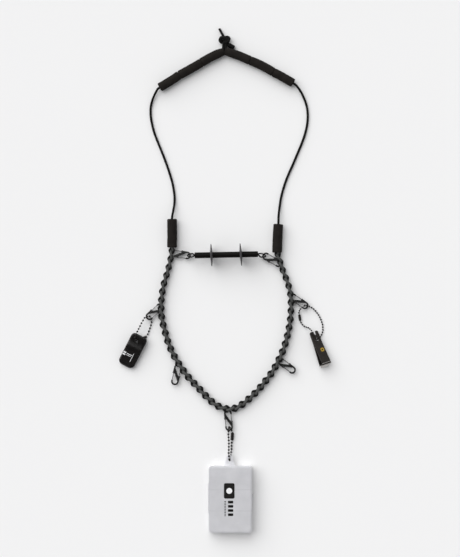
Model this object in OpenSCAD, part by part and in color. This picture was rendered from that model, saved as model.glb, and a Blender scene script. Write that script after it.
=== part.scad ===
// Angler's neck lanyard laid flat: a padded neck loop, a braided lower loop, seven double-gate clips,
// a tippet bar, a leader straightener, line nippers and a compartment box.
// +Z is up, Z = 0 is the surface it lies on, +Y points to the crown of the neck loop.

/* [Neck loop] */
// Diameter of the plain neck cord
cord_d = 3.2; // [2.8:0.1:3.2]
// Outside diameter of an upper foam sleeve
sleeve_d = 12; // [11:0.5:12.5]
// Outside diameter of a lower foam sleeve
lower_sleeve_d = 13.2; // [13:0.2:14]
// Length of a lower foam sleeve
lower_sleeve_len = 38.5; // [36:0.5:39]

/* [Braid] */
// Width across the four-strand braid
braid_d = 9.6; // [9:0.1:9.6]

/* [Clips] */
// Distance between the centres of a clip's two rings
clip_pitch = 19; // [18.5:0.1:19.5]
// Outside radius of a clip ring
ring_r = 5.25; // [5.1:0.05:5.4]
// Width of the clip frame's bar
bar_w = 2.2; // [2:0.05:2.3]
// Thickness of the clip frame
clip_t = 2; // [1.8:0.1:2]

/* [Tippet bar] */
// Outside diameter of the tube that carries the spools
tube_d = 8; // [7.4:0.1:8.4]
// Length of the tube
tube_len = 86.3; // [84:0.1:87]
// Diameter of a spool disc
disc_d = 30.6; // [29:0.2:30.6]
// Thickness of a spool disc at its hub
disc_t = 3.4; // [3:0.1:3.6]

/* [Leader straightener] */
// Length from the open end to the fold
strap_len = 47; // [46:0.5:48]
// Width of the strap
strap_w = 23; // [22:0.5:24]

/* [Line nippers] */
// Width of a leaf at its jaw
jaw_w = 13.2; // [12.6:0.1:13.2]
// Thickness of a leaf
leaf_t = 1.3; // [1.1:0.1:1.3]

/* [Compartment box] */
// Outside width of the box
box_w = 58.8; // [57:0.2:59]
// Outside length of the box
box_len = 90.8; // [90:0.2:92]
// Height of the tray
tray_h = 8.6; // [8.4:0.1:8.8]
// Height of the lid
lid_h = 8.2; // [7:0.1:9]
// Thickness of the box walls
box_wall = 1.4; // [1.2:0.1:1.5]

/* [Hidden] */

$fn = 48;
cord_black = [0.05, 0.05, 0.05];
foam_black = [0.15, 0.13, 0.12];
braid_grey = [0.22, 0.22, 0.22];
coated_black = [0.07, 0.07, 0.07];
steel = [0.55, 0.54, 0.56];
gloss_black = [0.06, 0.05, 0.04];
frosted = [0.8, 0.8, 0.83, 0.7];

// Heights at which the pieces lie
sleeve_z = sleeve_d / 2;
lower_sleeve_z = lower_sleeve_d / 2;
clip_z = 4.8;
floor_cord_z = cord_d / 2;
bar_z = disc_d / 2;

// ---- Swept tubes ----------------------------------------------------------------------------

function unit(v) = v / norm(v);
function heading(p, i) =
    i == 0 ? unit(p[1] - p[0]) :
    i == len(p) - 1 ? unit(p[i] - p[i - 1]) :
    unit(unit(p[i + 1] - p[i]) + unit(p[i] - p[i - 1]));
function across(t) = unit(cross(t, [0, 0, 1]));
function tube_ring(centre, t, r, n) = [
    for (k = [0:n - 1])
        let (a = 360 * k / n, s = across(t))
        centre + r * (cos(a) * s + sin(a) * cross(s, t))
];

// A closed tube of radius r with n sides along the points p, which never run straight up
module swept_tube(p, r, n = 8) {
    last = len(p) - 1;
    rings = [for (i = [0:last]) each tube_ring(p[i], heading(p, i), r, n)];
    walls = [
        for (i = [0:last - 1], k = [0:n - 1])
            [i * n + k, i * n + (k + 1) % n, (i + 1) * n + (k + 1) % n, (i + 1) * n + k]
    ];
    start_cap = [[for (k = [n - 1:-1:0]) k]];
    end_cap = [[for (k = [0:n - 1]) last * n + k]];
    polyhedron(rings, concat(walls, start_cap, end_cap), 4);
}

// ---- Neck loop ------------------------------------------------------------------------------

// Joints of the upper foam sleeves, from the crown outwards
crown_left = [[0, 314], [-32, 298], [-62, 281], [-89, 264]];
crown_right = [[0, 314], [35, 301], [67, 285], [94, 270]];
crown_gap = 3.4;
sleeve_gap = 0.4;
sleeve_bore_r = cord_d / 2 + 0.06;
sleeve_edge = 0.9;

lower_left_top = [-72, 84];
lower_right_top = [73.6, 77];
lower_left_dir = 270;
lower_right_dir = 267.5;
cord_grip = 12;
braid_bore_r = braid_d / 2 + 0.25;
splice_r = 3.6;
splice_len = 12;
splice_top = 14;
splice_bore_depth = 4;

// The neck cord passes through the sleeves and drops to the surface between them
knot_base_y = 318;
left_neck_route = [
    [-1.7, knot_base_y, sleeve_z], [-2.1, 315.2, sleeve_z], [-3.4, 312.3, sleeve_z],
    [-32, 298, sleeve_z], [-62, 281, sleeve_z], [-89, 264, sleeve_z],
    [-93.2, 259.4, 5.1], [-96.6, 253, 3.9], [-99.4, 246, 2.8], [-101.3, 238, 2], [-101.6, 229, 1.7],
    [-100.5, 219, floor_cord_z],
    [-97.2, 205, floor_cord_z], [-92.5, 192, floor_cord_z], [-86.6, 177.5, floor_cord_z],
    [-81, 163, floor_cord_z], [-76, 148.5, floor_cord_z], [-71.6, 133.5, floor_cord_z],
    [-69, 118, 1.7], [-68.8, 106, 3], [-70.4, 95, 5.4], [-72, 85, lower_sleeve_z],
    [-72, 84 - splice_top - splice_bore_depth + 0.1, lower_sleeve_z]
];
right_neck_route = [
    [1.7, knot_base_y, sleeve_z], [2.1, 315.4, sleeve_z], [3.6, 312.6, sleeve_z],
    [35, 301, sleeve_z], [67, 285, sleeve_z], [94, 270, sleeve_z],
    [101, 263.5, 5], [107, 254, 3], [112.4, 240, 1.8], [114, 227, floor_cord_z],
    [113.2, 214, floor_cord_z], [110, 200, floor_cord_z], [105, 186, floor_cord_z],
    [99.3, 172.5, floor_cord_z], [93.4, 158.5, floor_cord_z], [86.8, 143.5, floor_cord_z],
    [82, 130.5, floor_cord_z], [77.8, 115.5, 1.7], [75.4, 101, 3], [74, 89, 5.4],
    [73.65, 78, lower_sleeve_z],
    [72.8, 59.2, lower_sleeve_z]
];

function azimuth(a, b) = atan2(b[1] - a[1], b[0] - a[0]);

// Places children with their +Z along the line from a towards b, at height z
module along(a, b, z) {
    translate([a[0], a[1], z])
        rotate([0, 0, azimuth(a, b)])
            rotate([0, 90, 0])
                children();
}

module upper_sleeve(joints, i) {
    a = joints[i];
    b = joints[i + 1];
    start = i == 0 ? crown_gap : sleeve_gap;
    length = norm(b - a) - start - sleeve_gap;
    r = sleeve_d / 2;
    color(foam_black)
        along(a, b, sleeve_z)
            translate([0, 0, start])
                rotate_extrude()
                    polygon([
                        [sleeve_bore_r, 0], [r - sleeve_edge, 0], [r, sleeve_edge],
                        [r, length - sleeve_edge], [r - sleeve_edge, length], [sleeve_bore_r, length]
                    ]);
}

function lower_end(top, dir) = top + lower_sleeve_len * [cos(dir), sin(dir)];

// The foam grips the neck cord at its top, and is stretched over the splice and the braid below
module lower_sleeve(top, dir) {
    r = lower_sleeve_d / 2;
    color(foam_black)
        along(top, lower_end(top, dir), lower_sleeve_z)
            rotate_extrude()
                polygon([
                    [sleeve_bore_r, 0], [r - sleeve_edge, 0], [r, sleeve_edge],
                    [r, lower_sleeve_len - sleeve_edge], [r - sleeve_edge, lower_sleeve_len],
                    [braid_bore_r, lower_sleeve_len], [braid_bore_r, cord_grip], [sleeve_bore_r, cord_grip]
                ]);
}

// The whipped collar in which the neck cord meets the braid
module splice(top, dir) {
    color(cord_black)
        along(top, lower_end(top, dir), lower_sleeve_z)
            difference() {
                translate([0, 0, splice_top])
                    cylinder(h = splice_len, r = splice_r);
                translate([0, 0, splice_top - 1])
                    cylinder(h = splice_bore_depth + 1, r = sleeve_bore_r);
            }
}

module neck_cord(route) {
    color(cord_black)
        swept_tube(route, cord_d / 2);
}

// The overhand knot that joins the two neck cords, with the cords' cut ends
knot_z = 5.6;
thin_tail = [[-1.5, 332, 5], [-7.2, 345.2, 2]];
thick_tail = [[1, 325, 5.6], [13, 318.8, 3]];

module knot_tail(tail, r) {
    between(tail[0], tail[1])
        cylinder(h = norm(tail[1] - tail[0]), r = r);
}

module crown_knot() {
    knot_r = 5.1;
    color(cord_black) {
        translate([-8.4, 329.4, knot_z])
            rotate([0, 90, 0])
                rotate_extrude()
                    polygon([
                        [0, 0], [2.6, 0], [knot_r, 3], [knot_r, 13.8], [2.6, 16.8], [0, 16.8]
                    ]);
        translate([0, knot_base_y, knot_z])
            rotate([-90, 0, 0])
                cylinder(h = 10, r = 3.4);
        knot_tail(thin_tail, 1.6);
        knot_tail(thick_tail, 2.8);
    }
}

// ---- Braid ----------------------------------------------------------------------------------

braid_route = [
    [-72, 57.9, lower_sleeve_z], [-72, 46, 6.5], [-74, 30, 5.1], [-78, 13, clip_z], [-83, -4, clip_z],
    [-86, -20, clip_z], [-87, -36, clip_z], [-86, -52, clip_z], [-82, -69, clip_z], [-77, -86, clip_z],
    [-70, -102, clip_z], [-61, -117, clip_z], [-50, -132, clip_z], [-37, -146, clip_z],
    [-24, -160, clip_z], [-11, -171, clip_z], [3, -176, clip_z], [17, -174, clip_z], [30, -165, clip_z],
    [43, -153, clip_z], [55, -139, clip_z], [66, -124, clip_z], [75, -107, clip_z], [82, -90, clip_z],
    [87, -71, clip_z], [90, -53, clip_z], [91, -35, clip_z], [90, -18, clip_z], [86, -2, clip_z],
    [80, 13, clip_z], [75.6, 27, 5.1], [71.95, 39, 6.5], [72.45, 50.8, lower_sleeve_z]
];

module braid() {
    color(braid_grey)
        difference() {
            swept_tube(braid_route, braid_d / 2, 12);
            for (c = CLIPS)
                clip_relief(c);
        }
}

// ---- Double-gate clips ------------------------------------------------------------------------

// Each clip: the centre of its ring in the braid, its direction away from the braid, and which face is up
clip_bar_left = [[-70.2, 37.5], -10, false];
clip_bar_right = [[73.2, 23.5], 150.3, false];
clip_upper_left = [[-88.8, -36.5], 222, true];
clip_lower_left = [[-64, -119.7], 257.6, false];
clip_bottom = [[4.4, -182], 275, false];
clip_lower_right = [[77.3, -111], -37.5, false];
clip_upper_right = [[94.2, -23.3], -35, false];
CLIPS = [
    clip_bar_left, clip_bar_right, clip_upper_left, clip_lower_left,
    clip_bottom, clip_lower_right, clip_upper_right
];

ring_inner_r = ring_r - bar_w;
ring_mid_r = ring_r - bar_w / 2;
hook_tip_angle = 70;
diagonal_start = 2.4;
diagonal_w = bar_w + 1.2;
diagonal_more = 1;
gate_pivot_x = 11.7;
gate_reach = 9.5;
boss_r = 1.5;
pin_r = 0.5;
pin_hole_r = 0.56;
gate_w = 0.9;
gate_z = clip_t / 2 + 0.1 + gate_w / 2;
clip_swing = 12;
relief_post_r = 2.3;

function ring_centre(c) = c[0] + clip_pitch * [cos(c[1]), sin(c[1])];

// Children are drawn with +X away from the braid and the origin at the ring in the braid
module at_clip(c) {
    translate([c[0][0], c[0][1], clip_z])
        rotate([0, 0, c[1]])
            mirror([0, c[2] ? 1 : 0, 0])
                children();
}

module half_turn_copy() {
    children();
    translate([clip_pitch, 0])
        rotate(180)
            children();
}

// One hook of the S, with the side bar that ends at the other gate's pivot
module hook_outline() {
    difference() {
        intersection() {
            circle(r = ring_r);
            union() {
                translate([-2 * ring_r, -2 * ring_r])
                    square([2 * ring_r, 4 * ring_r]);
                polygon([[0, 0], 9 * [cos(hook_tip_angle), sin(hook_tip_angle)], [0, 9]]);
            }
        }
        circle(r = ring_inner_r);
    }
    translate([0, -ring_r])
        square([clip_pitch - gate_pivot_x, bar_w]);
    translate([clip_pitch - gate_pivot_x, -ring_mid_r])
        circle(r = boss_r);
}

module clip_frame(c) {
    diagonal = [clip_pitch - 2 * diagonal_start, 2 * ring_mid_r];
    color(coated_black)
        at_clip(c)
            difference() {
                linear_extrude(clip_t, center = true) {
                    half_turn_copy()
                        hook_outline();
                    intersection() {
                        translate([0, -ring_r])
                            square([clip_pitch, 2 * ring_r]);
                        translate([diagonal_start, -ring_mid_r])
                            rotate(atan2(diagonal[1], diagonal[0]))
                                translate([-diagonal_more, -diagonal_w / 2])
                                    square([norm(diagonal) + 2 * diagonal_more, diagonal_w]);
                    }
                }
                for (p = [[gate_pivot_x, ring_mid_r], [clip_pitch - gate_pivot_x, -ring_mid_r]])
                    translate([p[0], p[1], -clip_t])
                        cylinder(h = 2 * clip_t, r = pin_hole_r);
            }
}

// A wire gate: two legs, one on each face of the frame, a pivot pin and a nose
module gate_shape() {
    for (side = [-1, 1])
        translate([0, 0, side * gate_z])
            linear_extrude(gate_w, center = true) {
                circle(r = 0.85);
                translate([-gate_reach, -gate_w / 2])
                    square([gate_reach, gate_w]);
                translate([-gate_reach, 0])
                    circle(r = 0.6);
            }
    cylinder(h = 2 * gate_z, r = pin_r, center = true);
    translate([-gate_reach, 0, 0])
        cylinder(h = 2 * gate_z, r = 0.4, center = true);
}

// The inner gate closes the ring in the braid
module clip_gate_inner(c) {
    color(steel)
        at_clip(c)
            translate([gate_pivot_x, ring_mid_r, 0])
                gate_shape();
}

// The outer gate closes the ring that carries the accessory
module clip_gate_outer(c) {
    color(steel)
        at_clip(c)
            translate([clip_pitch - gate_pivot_x, -ring_mid_r, 0])
                rotate([0, 0, 180])
                    gate_shape();
}

// The room that the strands of the braid leave for a clip and its inner gate
module clip_relief(c) {
    slot_h = clip_t + 0.8;
    mouth_h = 2 * gate_z + gate_w + 0.6;
    at_clip(c) {
        difference() {
            cylinder(h = slot_h, r = ring_r + 0.45, center = true);
            cylinder(h = 2 * slot_h, r = relief_post_r, center = true);
        }
        for (turn = [-clip_swing, 0, clip_swing])
            rotate([0, 0, turn])
                translate([1.2, -ring_r - 0.6, -mouth_h / 2])
                    cube([2 * ring_r, 2 * ring_r + 1.2, mouth_h]);
    }
}

// ---- Tippet bar -----------------------------------------------------------------------------

bar_middle = [2.35, 34.95];
bar_turn = 1.13;
core_r = 1.5;
loop_r = 0.95;
disc_left_at = -20.3;
disc_right_at = 19.8;
fit_gap = 0.05;

// Radius and half thickness of a disc, from the tube to the rim
disc_profile = [
    [tube_d / 2 + fit_gap, disc_t / 2], [5, disc_t * 0.47], [7, disc_t * 0.4], [10, disc_t * 0.31],
    [13.5, disc_t * 0.22], [disc_d / 2 - 0.3, disc_t * 0.16], [disc_d / 2, disc_t * 0.09]
];

module at_bar() {
    translate([bar_middle[0], bar_middle[1], bar_z])
        rotate([0, 0, bar_turn])
            rotate([0, 90, 0])
                children();
}

module tippet_tube() {
    color(gloss_black)
        at_bar()
            difference() {
                cylinder(h = tube_len, r = tube_d / 2, center = true);
                cylinder(h = 2 * tube_len, r = core_r + fit_gap, center = true);
            }
}

// The eye at one end of the core cord, from the tube's end round the bar of the clip's ring,
// in a frame whose +X points at the ring's centre, d away
function eye_route(d) = [
    [0.7, 0.5, 15.3], [1.8, 1.3, 14.3], [d - 6.4, 2.1, 10.8], [d - 3.6, 1.8, 7.7], [d - 1.5, 1, 6.3],
    [d - 0.8, 0.1, 4.8], [d - 1.4, -0.9, 3.1], [d - 3.4, -1.9, 2.1], [d - 6.2, -2.5, 2.8],
    [d - 7.8, -2.4, 6.5], [d - 9, -1.8, 11], [1.4, -1.1, 14.2], [0.6, -0.5, 15.2]
];

module cord_eye(end, ring) {
    translate([end[0], end[1], 0])
        rotate([0, 0, azimuth(end, ring)])
            swept_tube(eye_route(norm(ring - end)), loop_r);
}

module tippet_cord() {
    half = tube_len / 2 * [cos(bar_turn), sin(bar_turn)];
    color(cord_black) {
        at_bar()
            cylinder(h = tube_len + 3, r = core_r, center = true);
        cord_eye(bar_middle - half, ring_centre(clip_bar_left));
        cord_eye(bar_middle + half, ring_centre(clip_bar_right));
    }
}

module spool_disc(at) {
    color(foam_black)
        at_bar()
            translate([0, 0, at])
                rotate_extrude()
                    polygon(concat(
                        [for (p = disc_profile) [p[0], p[1]]],
                        [for (i = [len(disc_profile) - 1:-1:0]) [disc_profile[i][0], -disc_profile[i][1]]]
                    ));
}

// ---- Ball chains ----------------------------------------------------------------------------

function run_length(p, i) = i == 0 ? 0 : run_length(p, i - 1) + norm(p[i] - p[i - 1]);
function point_at(p, s, i = 1) =
    let (step = norm(p[i] - p[i - 1]))
    s <= step || i == len(p) - 1 ? p[i - 1] + (p[i] - p[i - 1]) * min(1, s / step) : point_at(p, s - step, i + 1);

// Places children, drawn along +Z with unit length scaled by the module that calls it, from a to b
module between(a, b) {
    v = b - a;
    translate(a)
        rotate([0, 0, atan2(v[1], v[0])])
            rotate([0, acos(v[2] / norm(v)), 0])
                children();
}

connector_lip = 0.5;

// Balls evenly spaced along a route, on short links
module ball_chain(route, pitch, ball_r) {
    length = run_length(route, len(route) - 1);
    count = round(length / pitch);
    spots = [for (i = [0:count]) point_at(route, length * i / count)];
    color(coated_black) {
        for (i = [0:count])
            between(spots[i], spots[i] + heading(spots, i))
                rotate([90, 0, 0])
                    sphere(r = ball_r, $fn = 24);
        for (i = [0:count - 1])
            between(spots[i], spots[i + 1])
                translate([0, 0, ball_r * 0.6])
                    cylinder(h = norm(spots[i + 1] - spots[i]) - ball_r * 1.2, r = ball_r * 0.2, $fn = 16);
    }
}

// The barrel that snaps over the two end balls of a chain's route
module chain_connector(route, r, ball_r) {
    a = route[len(route) - 1];
    b = route[0];
    length = norm(b - a) + 2 * connector_lip;
    color(coated_black)
        between(a, b)
            translate([0, 0, -connector_lip])
                difference() {
                    cylinder(h = length, r = r);
                    translate([0, 0, -1])
                        cylinder(h = length + 2, r = ball_r + 0.06);
                }
}

// ---- Leader straightener ----------------------------------------------------------------------

strap_at = [-121.2, -82.5, 6.4];
strap_turn = 243;
strap_tilt = 4.3;
strap_end = 8.9;
strap_side = 2.2;
flap_t = 1.6;
liner_t = 0.9;
flap_half = 3.4;
strap_hole_r = 2.2;
strap_corner = 5;
fold_x = strap_len - strap_end - flap_half;
liner_start = 8;

module at_strap() {
    translate(strap_at)
        rotate([0, 0, strap_turn])
            rotate([0, strap_tilt, 0])
                children();
}

// A flap from the open end to the fold, between the heights z0 and z1, with its chain hole
module strap_flap(z0, z1) {
    low = strap_side - strap_w / 2;
    high = strap_side + strap_w / 2;
    difference() {
        translate([0, 0, z0])
            linear_extrude(z1 - z0)
                polygon(concat(
                    [[fold_x, low], [fold_x, high]],
                    [for (a = [90:15:180])
                        [strap_corner - strap_end, high - strap_corner] + strap_corner * [cos(a), sin(a)]],
                    [for (a = [180:15:270])
                        [strap_corner - strap_end, low + strap_corner] + strap_corner * [cos(a), sin(a)]]
                ));
        translate([0, 0, z0 - 1])
            cylinder(h = z1 - z0 + 2, r = strap_hole_r);
    }
}

module straightener_back() {
    color(gloss_black)
        at_strap() {
            strap_flap(-flap_half, flap_t - flap_half);
            translate([fold_x, strap_side + strap_w / 2, 0])
                rotate([90, 0, 0])
                    linear_extrude(strap_w)
                        difference() {
                            intersection() {
                                circle(r = flap_half);
                                translate([0, -flap_half])
                                    square([2 * flap_half, 2 * flap_half]);
                            }
                            circle(r = flap_half - flap_t);
                        }
        }
}

module straightener_front() {
    color(gloss_black)
        at_strap()
            strap_flap(flap_half - flap_t, flap_half);
}

// The rubber pads between which a leader is drawn
module straightener_liner(z0) {
    color(cord_black)
        at_strap()
            translate([liner_start, strap_side - strap_w / 2 + 1.5, z0])
                cube([fold_x - liner_start, strap_w - 3, liner_t]);
}

strap_ball_r = 1.3;
strap_route = [
    [-107.8, -77.3, 1.6], [-105.8, -74.9, 1.5], [-104.4, -71, 1.45], [-101.5, -62.8, 1.45],
    [-100.1, -55.6, 1.45], [-101.6, -51, 1.45], [-102.9, -49.2, 2.2], [-102.9, -49.3, 7.6],
    [-105.6, -49.6, 8.8], [-109.3, -50.9, 8.2], [-113.2, -57.4, 8], [-116.8, -64.9, 9.4],
    [-120.3, -72.1, 11.8], [-122.6, -78.6, 12.2], [-121.4, -82.3, 11.2], [-121.2, -82.5, 2],
    [-119.6, -81.6, 1.4], [-114.3, -79.6, 1.6]
];

// ---- Line nippers ---------------------------------------------------------------------------

nipper_at = [127, -80.6, 6.2];
nipper_turn = -71;
nipper_roll = -24;
nipper_pitch = -3.1;
nipper_top = 11.8;
nipper_jaw_x = 36;
bend_x = 3;
jaw_rise = 4.4;
jaw_gap = 0.6;
leaf_gap = 0.05;
nipper_hole_r = 2.3;
rivet_x = -4.6;
rivet_r = 0.9;
leaf_side = -0.9;

module at_nipper() {
    translate(nipper_at)
        rotate([0, 0, nipper_turn])
            rotate([0, nipper_pitch, 0])
                rotate([nipper_roll, 0, 0])
                    children();
}

// The outline of a leaf from above: rounded prongs round a notch at one end, wider at the jaw
module leaf_outline() {
    top_high = 5.2;
    top_low = 7.2;
    difference() {
        polygon(concat(
            [[nipper_jaw_x + 1, -jaw_w / 2], [nipper_jaw_x + 1, jaw_w / 2]],
            [for (a = [90:18:180]) [2.6 - nipper_top, top_high - 2.6] + 2.6 * [cos(a), sin(a)]],
            [for (a = [180:18:270]) [2.6 - nipper_top, 2.6 - top_low] + 2.6 * [cos(a), sin(a)]]
        ));
        translate([-nipper_top - 1, -1.7])
            square([5, 3.4]);
        translate([-nipper_top + 4, 0])
            circle(r = 1.75);
    }
}

// The upper leaf as it lies over the lower one: flat to the bend, then rising to a turned-down jaw
module leaf() {
    top_z = leaf_gap + leaf_t;
    difference() {
        intersection() {
            rotate([90, 0, 0])
                linear_extrude(3 * jaw_w, center = true)
                    polygon([
                        [-nipper_top, leaf_gap], [bend_x, leaf_gap], [nipper_jaw_x - 1.9, jaw_rise],
                        [nipper_jaw_x - 1.2, jaw_gap], [nipper_jaw_x - 0.8, jaw_gap],
                        [nipper_jaw_x, jaw_gap + 2.4], [nipper_jaw_x, jaw_rise + leaf_t],
                        [bend_x - 0.1, top_z], [-nipper_top, top_z]
                    ]);
            linear_extrude(30, center = true)
                translate([0, leaf_side])
                    leaf_outline();
        }
        cylinder(h = 20, r = nipper_hole_r, center = true);
        translate([rivet_x, leaf_side, 0])
            cylinder(h = 20, r = rivet_r + 0.12, center = true);
    }
}

module nipper_upper_leaf() {
    color([0.18, 0.17, 0.16])
        at_nipper()
            leaf();
}

module nipper_lower_leaf() {
    color([0.18, 0.17, 0.16])
        at_nipper()
            mirror([0, 0, 1])
                leaf();
}

// Holds the leaves together with play under its head, so that the upper leaf can rock
module nipper_rivet() {
    seat = leaf_gap + leaf_t;
    color(steel)
        at_nipper()
            translate([rivet_x, leaf_side, 0]) {
                cylinder(h = 2 * seat + 0.9, r = rivet_r, center = true);
                translate([0, 0, seat + 0.3])
                    cylinder(h = 0.5, r = 1.7);
                translate([0, 0, -seat - 0.55])
                    cylinder(h = 0.5, r = 1.7);
            }
}

nipper_ball_r = 1.15;
nipper_route = [
    [103.6, -54.6, 1.9], [104.3, -56.6, 1.3], [105.8, -59.6, 1.3], [108.1, -62.3, 1.4], [111.4, -64, 3],
    [114.8, -64.9, 6.4], [118.4, -68, 10.4], [120.8, -72, 11.4], [123.6, -76.4, 11.2], [126.8, -80.3, 10.4],
    [127, -80.6, 2], [128.6, -79.6, 1.3], [131, -78, 1.3], [133.8, -73.3, 1.3], [134.9, -67, 1.3],
    [134.4, -60.7, 1.3], [132.5, -54.7, 1.3], [129.7, -48.6, 1.3], [125.7, -42.9, 1.3],
    [120.7, -37.9, 1.3], [115.1, -35, 1.3], [111, -34.2, 1.3], [109.8, -34.2, 2], [109.8, -34.3, 8],
    [108, -35.4, 9.2], [104.5, -38.1, 8.4], [102.5, -41.4, 5.6], [101.8, -44.7, 3], [102.5, -47.6, 1.9]
];

// ---- Compartment box --------------------------------------------------------------------------

box_at = [-21.4, -344.2];
box_corner = 4;
box_mid_x = box_at[0] + box_w / 2;
divider_y = [59.3, 30.2];
divider_t = 1.2;
seam = 0.2;
hinge_z = tray_h + seam / 2;
knuckle_r = 1.2;
knuckle_len = 8;
knuckle_at = [25.5, 33.7, 41.9, 50.1, 58.3];
hinge_pin_r = 0.5;
tab_t = 2.4;
tab_hole = [6.7, -245.9];
tab_hole_r = 2.1;
tab_tip = [6.7, -243];
tab_tip_r = 4.3;
latch_y = 40;
latch_w = 11;

// A rectangle with round corners, its low corner at the origin
module rounded_plate(w, l, r) {
    corners = [[w - r, r, -90], [w - r, l - r, 0], [r, l - r, 90], [r, r, 180]];
    polygon([for (c = corners, k = [0:6]) [c[0], c[1]] + r * [cos(c[2] + 15 * k), sin(c[2] + 15 * k)]]);
}

module at_box(z) {
    translate([box_at[0], box_at[1], z])
        children();
}

// One knuckle of the hinge, or the room that it needs when grow is not 0
module knuckle(i, grow = 0) {
    translate([0, knuckle_at[i] - grow, hinge_z])
        rotate([-90, 0, 0])
            cylinder(h = knuckle_len + 2 * grow, r = knuckle_r + grow, $fn = 32);
}

module hinge_bore() {
    translate([0, knuckle_at[0] - 5, hinge_z])
        rotate([-90, 0, 0])
            cylinder(h = 60, r = hinge_pin_r + fit_gap, $fn = 32);
}

module box_tray() {
    inner_l = box_len - 2 * box_wall;
    bays = [
        [box_wall, divider_y[1] - divider_t / 2],
        [divider_y[1] + divider_t / 2, divider_y[0] - divider_t / 2],
        [divider_y[0] + divider_t / 2, box_wall + inner_l]
    ];
    color(frosted) {
        difference() {
            union() {
                at_box(0)
                    linear_extrude(tray_h)
                        rounded_plate(box_w, box_len, box_corner);
                at_box(0)
                    for (i = [0, 2, 4])
                        knuckle(i);
                translate([0, 0, tray_h - tab_t])
                    linear_extrude(tab_t) {
                        polygon([
                            [tab_tip[0] - 7.7, box_at[1] + box_len - 0.5],
                            [tab_tip[0] + 7.7, box_at[1] + box_len - 0.5],
                            [tab_tip[0] + 4, tab_tip[1]], [tab_tip[0] - 4, tab_tip[1]]
                        ]);
                        translate(tab_tip)
                            circle(r = tab_tip_r);
                    }
            }
            at_box(box_wall)
                for (bay = bays)
                    translate([box_wall, bay[0], 0])
                        linear_extrude(tray_h)
                            rounded_plate(box_w - 2 * box_wall, bay[1] - bay[0], 2.6);
            at_box(0) {
                for (i = [1, 3])
                    knuckle(i, 0.15);
                hinge_bore();
            }
            translate([tab_hole[0], tab_hole[1], 0])
                cylinder(h = 2 * tray_h, r = tab_hole_r);
        }
    }
}

module box_lid() {
    inner_w = box_w - 2 * box_wall;
    inner_l = box_len - 2 * box_wall;
    rim = 3.4;
    color(frosted)
        at_box(0)
            difference() {
                union() {
                    translate([0, 0, tray_h + seam])
                        linear_extrude(lid_h - 0.8)
                            rounded_plate(box_w, box_len, box_corner);
                    translate([rim / 2, rim / 2, tray_h + seam])
                        linear_extrude(lid_h)
                            rounded_plate(box_w - rim, box_len - rim, box_corner);
                    for (i = [1, 3])
                        knuckle(i);
                    translate([box_w - 0.6, latch_y, tray_h - 3.6])
                        cube([1.6, latch_w, lid_h]);
                }
                translate([box_wall, box_wall, tray_h - 4])
                    linear_extrude(lid_h + 2.8)
                        rounded_plate(inner_w, inner_l, box_corner - box_wall);
                translate([box_w - 1, latch_y - 1, tray_h - 4])
                    cube([1.2, latch_w + 2, 4.2]);
                for (i = [0, 2, 4])
                    knuckle(i, 0.15);
                hinge_bore();
            }
}

module box_hinge_pin() {
    color(steel)
        at_box(0)
            translate([0, knuckle_at[0], hinge_z])
                rotate([-90, 0, 0])
                    cylinder(h = knuckle_at[4] + knuckle_len - knuckle_at[0], r = hinge_pin_r, $fn = 32);
}

box_ball_r = 1.45;
box_route = [
    [10.2, -218.3, 2.2], [9.7, -222.4, 1.8], [9.5, -230.7, 1.8], [8.6, -238.7, 3.6], [7, -244.6, 4.1],
    [6.7, -245.8, 5], [6.7, -245.9, 9.8], [6.2, -243.4, 10.8], [5.6, -237, 10.2], [5.8, -230, 7.6],
    [5.9, -223.9, 6.4], [5.5, -216, 6.8], [5, -209.6, 8.8], [5.8, -203.4, 9], [6.1, -200.9, 8],
    [6.2, -201, 2], [8.4, -203.6, 1.6], [10.4, -207, 1.7], [10.7, -209.6, 2.2]
];

// ---- Nodes ----------------------------------------------------------------------------------

module straightener_chain() {
    ball_chain(strap_route, 4.35, strap_ball_r);
}

module straightener_connector() {
    chain_connector(strap_route, 1.55, strap_ball_r);
}

module nipper_chain() {
    ball_chain(nipper_route, 3.55, nipper_ball_r);
}

module nipper_connector() {
    chain_connector(nipper_route, 1.75, nipper_ball_r);
}

module box_chain() {
    ball_chain(box_route, 4.4, box_ball_r);
}

module box_connector() {
    chain_connector(box_route, 2.15, box_ball_r);
}

braid();
neck_cord(left_neck_route);  // neck_cord_left
neck_cord(right_neck_route);  // neck_cord_right
crown_knot();
upper_sleeve(crown_left, 0);  // upper_sleeve_left_1
upper_sleeve(crown_left, 1);  // upper_sleeve_left_2
upper_sleeve(crown_left, 2);  // upper_sleeve_left_3
upper_sleeve(crown_right, 0);  // upper_sleeve_right_1
upper_sleeve(crown_right, 1);  // upper_sleeve_right_2
upper_sleeve(crown_right, 2);  // upper_sleeve_right_3
lower_sleeve(lower_left_top, lower_left_dir);  // lower_sleeve_left
lower_sleeve(lower_right_top, lower_right_dir);  // lower_sleeve_right
splice(lower_left_top, lower_left_dir);  // splice_left
splice(lower_right_top, lower_right_dir);  // splice_right
clip_frame(clip_bar_left);  // clip_bar_left_frame
clip_gate_inner(clip_bar_left);  // clip_bar_left_gate_inner
clip_gate_outer(clip_bar_left);  // clip_bar_left_gate_outer
clip_frame(clip_bar_right);  // clip_bar_right_frame
clip_gate_inner(clip_bar_right);  // clip_bar_right_gate_inner
clip_gate_outer(clip_bar_right);  // clip_bar_right_gate_outer
clip_frame(clip_upper_left);  // clip_upper_left_frame
clip_gate_inner(clip_upper_left);  // clip_upper_left_gate_inner
clip_gate_outer(clip_upper_left);  // clip_upper_left_gate_outer
clip_frame(clip_lower_left);  // clip_lower_left_frame
clip_gate_inner(clip_lower_left);  // clip_lower_left_gate_inner
clip_gate_outer(clip_lower_left);  // clip_lower_left_gate_outer
clip_frame(clip_bottom);  // clip_bottom_frame
clip_gate_inner(clip_bottom);  // clip_bottom_gate_inner
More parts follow.
